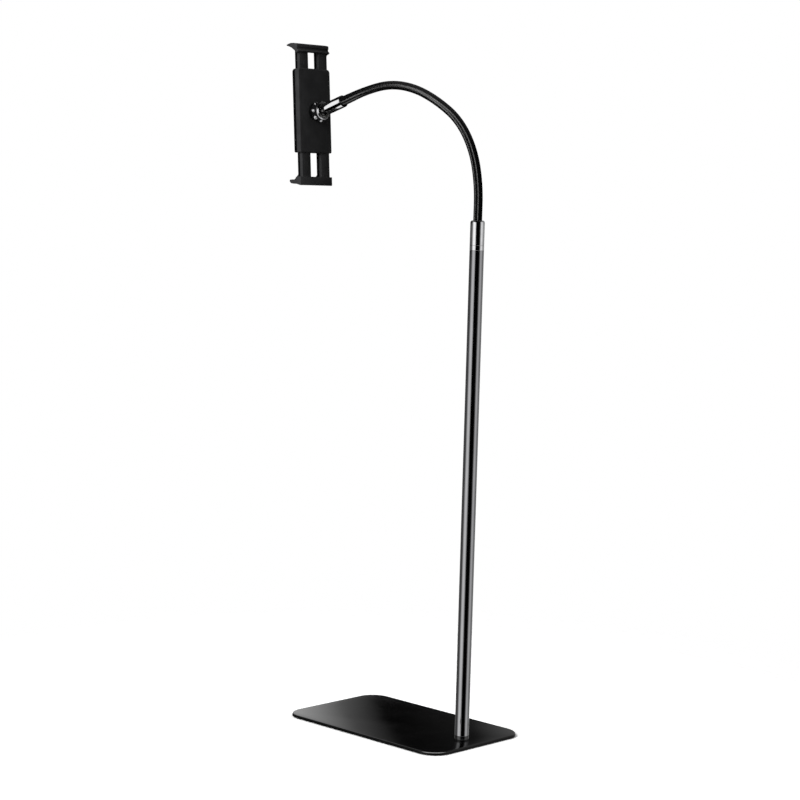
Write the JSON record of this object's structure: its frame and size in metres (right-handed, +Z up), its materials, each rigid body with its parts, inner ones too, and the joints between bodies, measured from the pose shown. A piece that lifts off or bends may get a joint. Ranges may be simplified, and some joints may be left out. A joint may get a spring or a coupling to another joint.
{
  "type": "tablet floor stand",
  "caption": "Floor stand with a heavy plate base, a slim pole, a flexible arm and a ball-jointed holder whose hooked jaws slide to grip a tablet.",
  "frame": {"origin": "on the floor, under the middle of the base plate", "axes": "+X along the base plate towards the end with the pole, +Z up the pole; the arm bows over towards -X"},
  "size_m": [0.3988, 0.187, 0.9845],
  "materials": {
    "base_plate": "glossy black",
    "foot_rubber": "matte black",
    "pole_metal": "dark mirror",
    "bright_metal": "bright mirror",
    "core_steel": "plain",
    "sleeve": "satin black",
    "holder_plastic": "satin black",
    "gloss_black": "glossy black",
    "liner": "plain",
    "pad": "matte black"
  },
  "bodies": {
    "stand": {"base_plate": "base_plate", "foot_left_front": "foot_rubber", "foot_left_back": "foot_rubber", "foot_right_front": "foot_rubber", "foot_right_back": "foot_rubber", "foot_middle": "foot_rubber", "base_bolt": "core_steel", "pole_washer": "gloss_black", "pole_foot_plug": "core_steel", "pole_tube": "pole_metal", "pole_top_plug": "core_steel", "pole_top_ring": "bright_metal"},
    "neck_0": {"neck_collar": "bright_metal", "neck_core_0": "core_steel", "neck_sleeve_0": "sleeve"},
    "neck_1": {"neck_core_1": "core_steel", "neck_sleeve_1": "sleeve"},
    "neck_2": {"neck_core_2": "core_steel", "neck_sleeve_2": "sleeve"},
    "neck_3": {"neck_core_3": "core_steel", "neck_sleeve_3": "sleeve"},
    "neck_4": {"neck_core_4": "core_steel", "neck_sleeve_4": "sleeve"},
    "neck_5": {"neck_core_5": "core_steel", "neck_sleeve_5": "sleeve"},
    "neck_6": {"neck_core_6": "core_steel", "neck_sleeve_6": "sleeve"},
    "neck_7": {"neck_core_7": "core_steel", "neck_sleeve_7": "sleeve"},
    "neck_8": {"neck_core_8": "core_steel", "neck_sleeve_8": "sleeve", "end_ferrule": "bright_metal", "ball_stud": "gloss_black"},
    "seat_back": {"ball_seat_back": "liner"},
    "seat_front": {"ball_seat_front": "liner"},
    "holder": {"rear_shell": "holder_plastic", "front_shell": "holder_plastic", "ball_socket": "gloss_black", "socket_screw_high": "core_steel", "socket_screw_low": "core_steel", "shell_screw_1": "core_steel", "shell_screw_2": "core_steel", "shell_screw_3": "core_steel", "shell_screw_4": "core_steel", "front_pad": "pad", "upper_brake": "pad", "lower_brake": "pad"},
    "lock_nut": {"lock_nut": "gloss_black"},
    "upper_jaw": {"upper_jaw": "holder_plastic", "upper_jaw_pad": "pad"},
    "lower_jaw": {"lower_jaw": "holder_plastic", "lower_jaw_pad": "pad"}
  },
  "joints": [
    {"name": "arm_swivel", "type": "hinge", "parent": "stand", "child": "neck_0", "pos_m": [0.117, 0, 0.7004], "axis": [0, 0, 1], "range_deg": [-180, 180]},
    {"name": "neck_bend_1", "type": "hinge", "parent": "neck_0", "child": "neck_1", "pos_m": [0.117, 0, 0.75781], "axis": [0, -1, 0], "range_deg": [-6.8, 2.5]},
    {"name": "neck_lower_bend", "type": "hinge", "parent": "neck_1", "child": "neck_2", "pos_m": [0.11119, 0, 0.80658], "axis": [0, -1, 0], "range_deg": [-17, 6]},
    {"name": "neck_bend_3", "type": "hinge", "parent": "neck_2", "child": "neck_3", "pos_m": [0.09123, 0, 0.85128], "axis": [0, -1, 0], "range_deg": [-21.9, 7.8]},
    {"name": "neck_bend_4", "type": "hinge", "parent": "neck_3", "child": "neck_4", "pos_m": [0.05601, 0, 0.88518], "axis": [0, -1, 0], "range_deg": [-16.4, 5.9]},
    {"name": "neck_upper_bend", "type": "hinge", "parent": "neck_4", "child": "neck_5", "pos_m": [0.01236, 0, 0.9078], "axis": [0, -1, 0], "range_deg": [-12, 11]},
    {"name": "neck_bend_6", "type": "hinge", "parent": "neck_5", "child": "neck_6", "pos_m": [-0.03505, 0, 0.92051], "axis": [0, -1, 0], "range_deg": [-15.8, 14.5]},
    {"name": "neck_bend_7", "type": "hinge", "parent": "neck_6", "child": "neck_7", "pos_m": [-0.08408, 0, 0.91948], "axis": [0, -1, 0], "range_deg": [-12.3, 11.3]},
    {"name": "neck_bend_8", "type": "hinge", "parent": "neck_7", "child": "neck_8", "pos_m": [-0.13186, 0, 0.90779], "axis": [0, -1, 0], "range_deg": [-3.9, 3.6]},
    {"name": "holder_tilt", "type": "hinge", "parent": "neck_8", "child": "seat_back", "pos_m": [-0.19983, 0, 0.88623], "axis": [0, 1, 0], "range_deg": [-46, 20]},
    {"name": "holder_pan", "type": "hinge", "parent": "seat_back", "child": "seat_front", "pos_m": [-0.19983, 0, 0.88623], "axis": [-0.0732, 0, 0.9973], "range_deg": [-20, 20]},
    {"name": "holder_spin", "type": "hinge", "parent": "seat_front", "child": "holder", "pos_m": [-0.19983, 0, 0.88623], "axis": [0.9973, 0, 0.0732], "continuous": true},
    {"name": "lock_nut_turn", "type": "hinge", "parent": "holder", "child": "lock_nut", "pos_m": [-0.20681, 0, 0.88572], "axis": [0.9973, 0, 0.0732], "range_deg": [-10, 60]},
    {"name": "upper_jaw_slide", "type": "slide", "parent": "holder", "child": "upper_jaw", "axis": [-0.0732, 0, 0.9973], "range_m": [-0.0182, 0.016]},
    {"name": "lower_jaw_slide", "type": "slide", "parent": "holder", "child": "lower_jaw", "axis": [0.0732, 0, -0.9973], "range_m": [-0.0316, 0.012]}
  ],
  "couplings": [
    {"joint": "neck_bend_1", "follows": "neck_lower_bend", "ratio": 0.394},
    {"joint": "neck_bend_3", "follows": "neck_lower_bend", "ratio": 1.278},
    {"joint": "neck_bend_4", "follows": "neck_lower_bend", "ratio": 0.957},
    {"joint": "neck_bend_6", "follows": "neck_upper_bend", "ratio": 1.306},
    {"joint": "neck_bend_7", "follows": "neck_upper_bend", "ratio": 1.012},
    {"joint": "neck_bend_8", "follows": "neck_upper_bend", "ratio": 0.31}
  ]
}
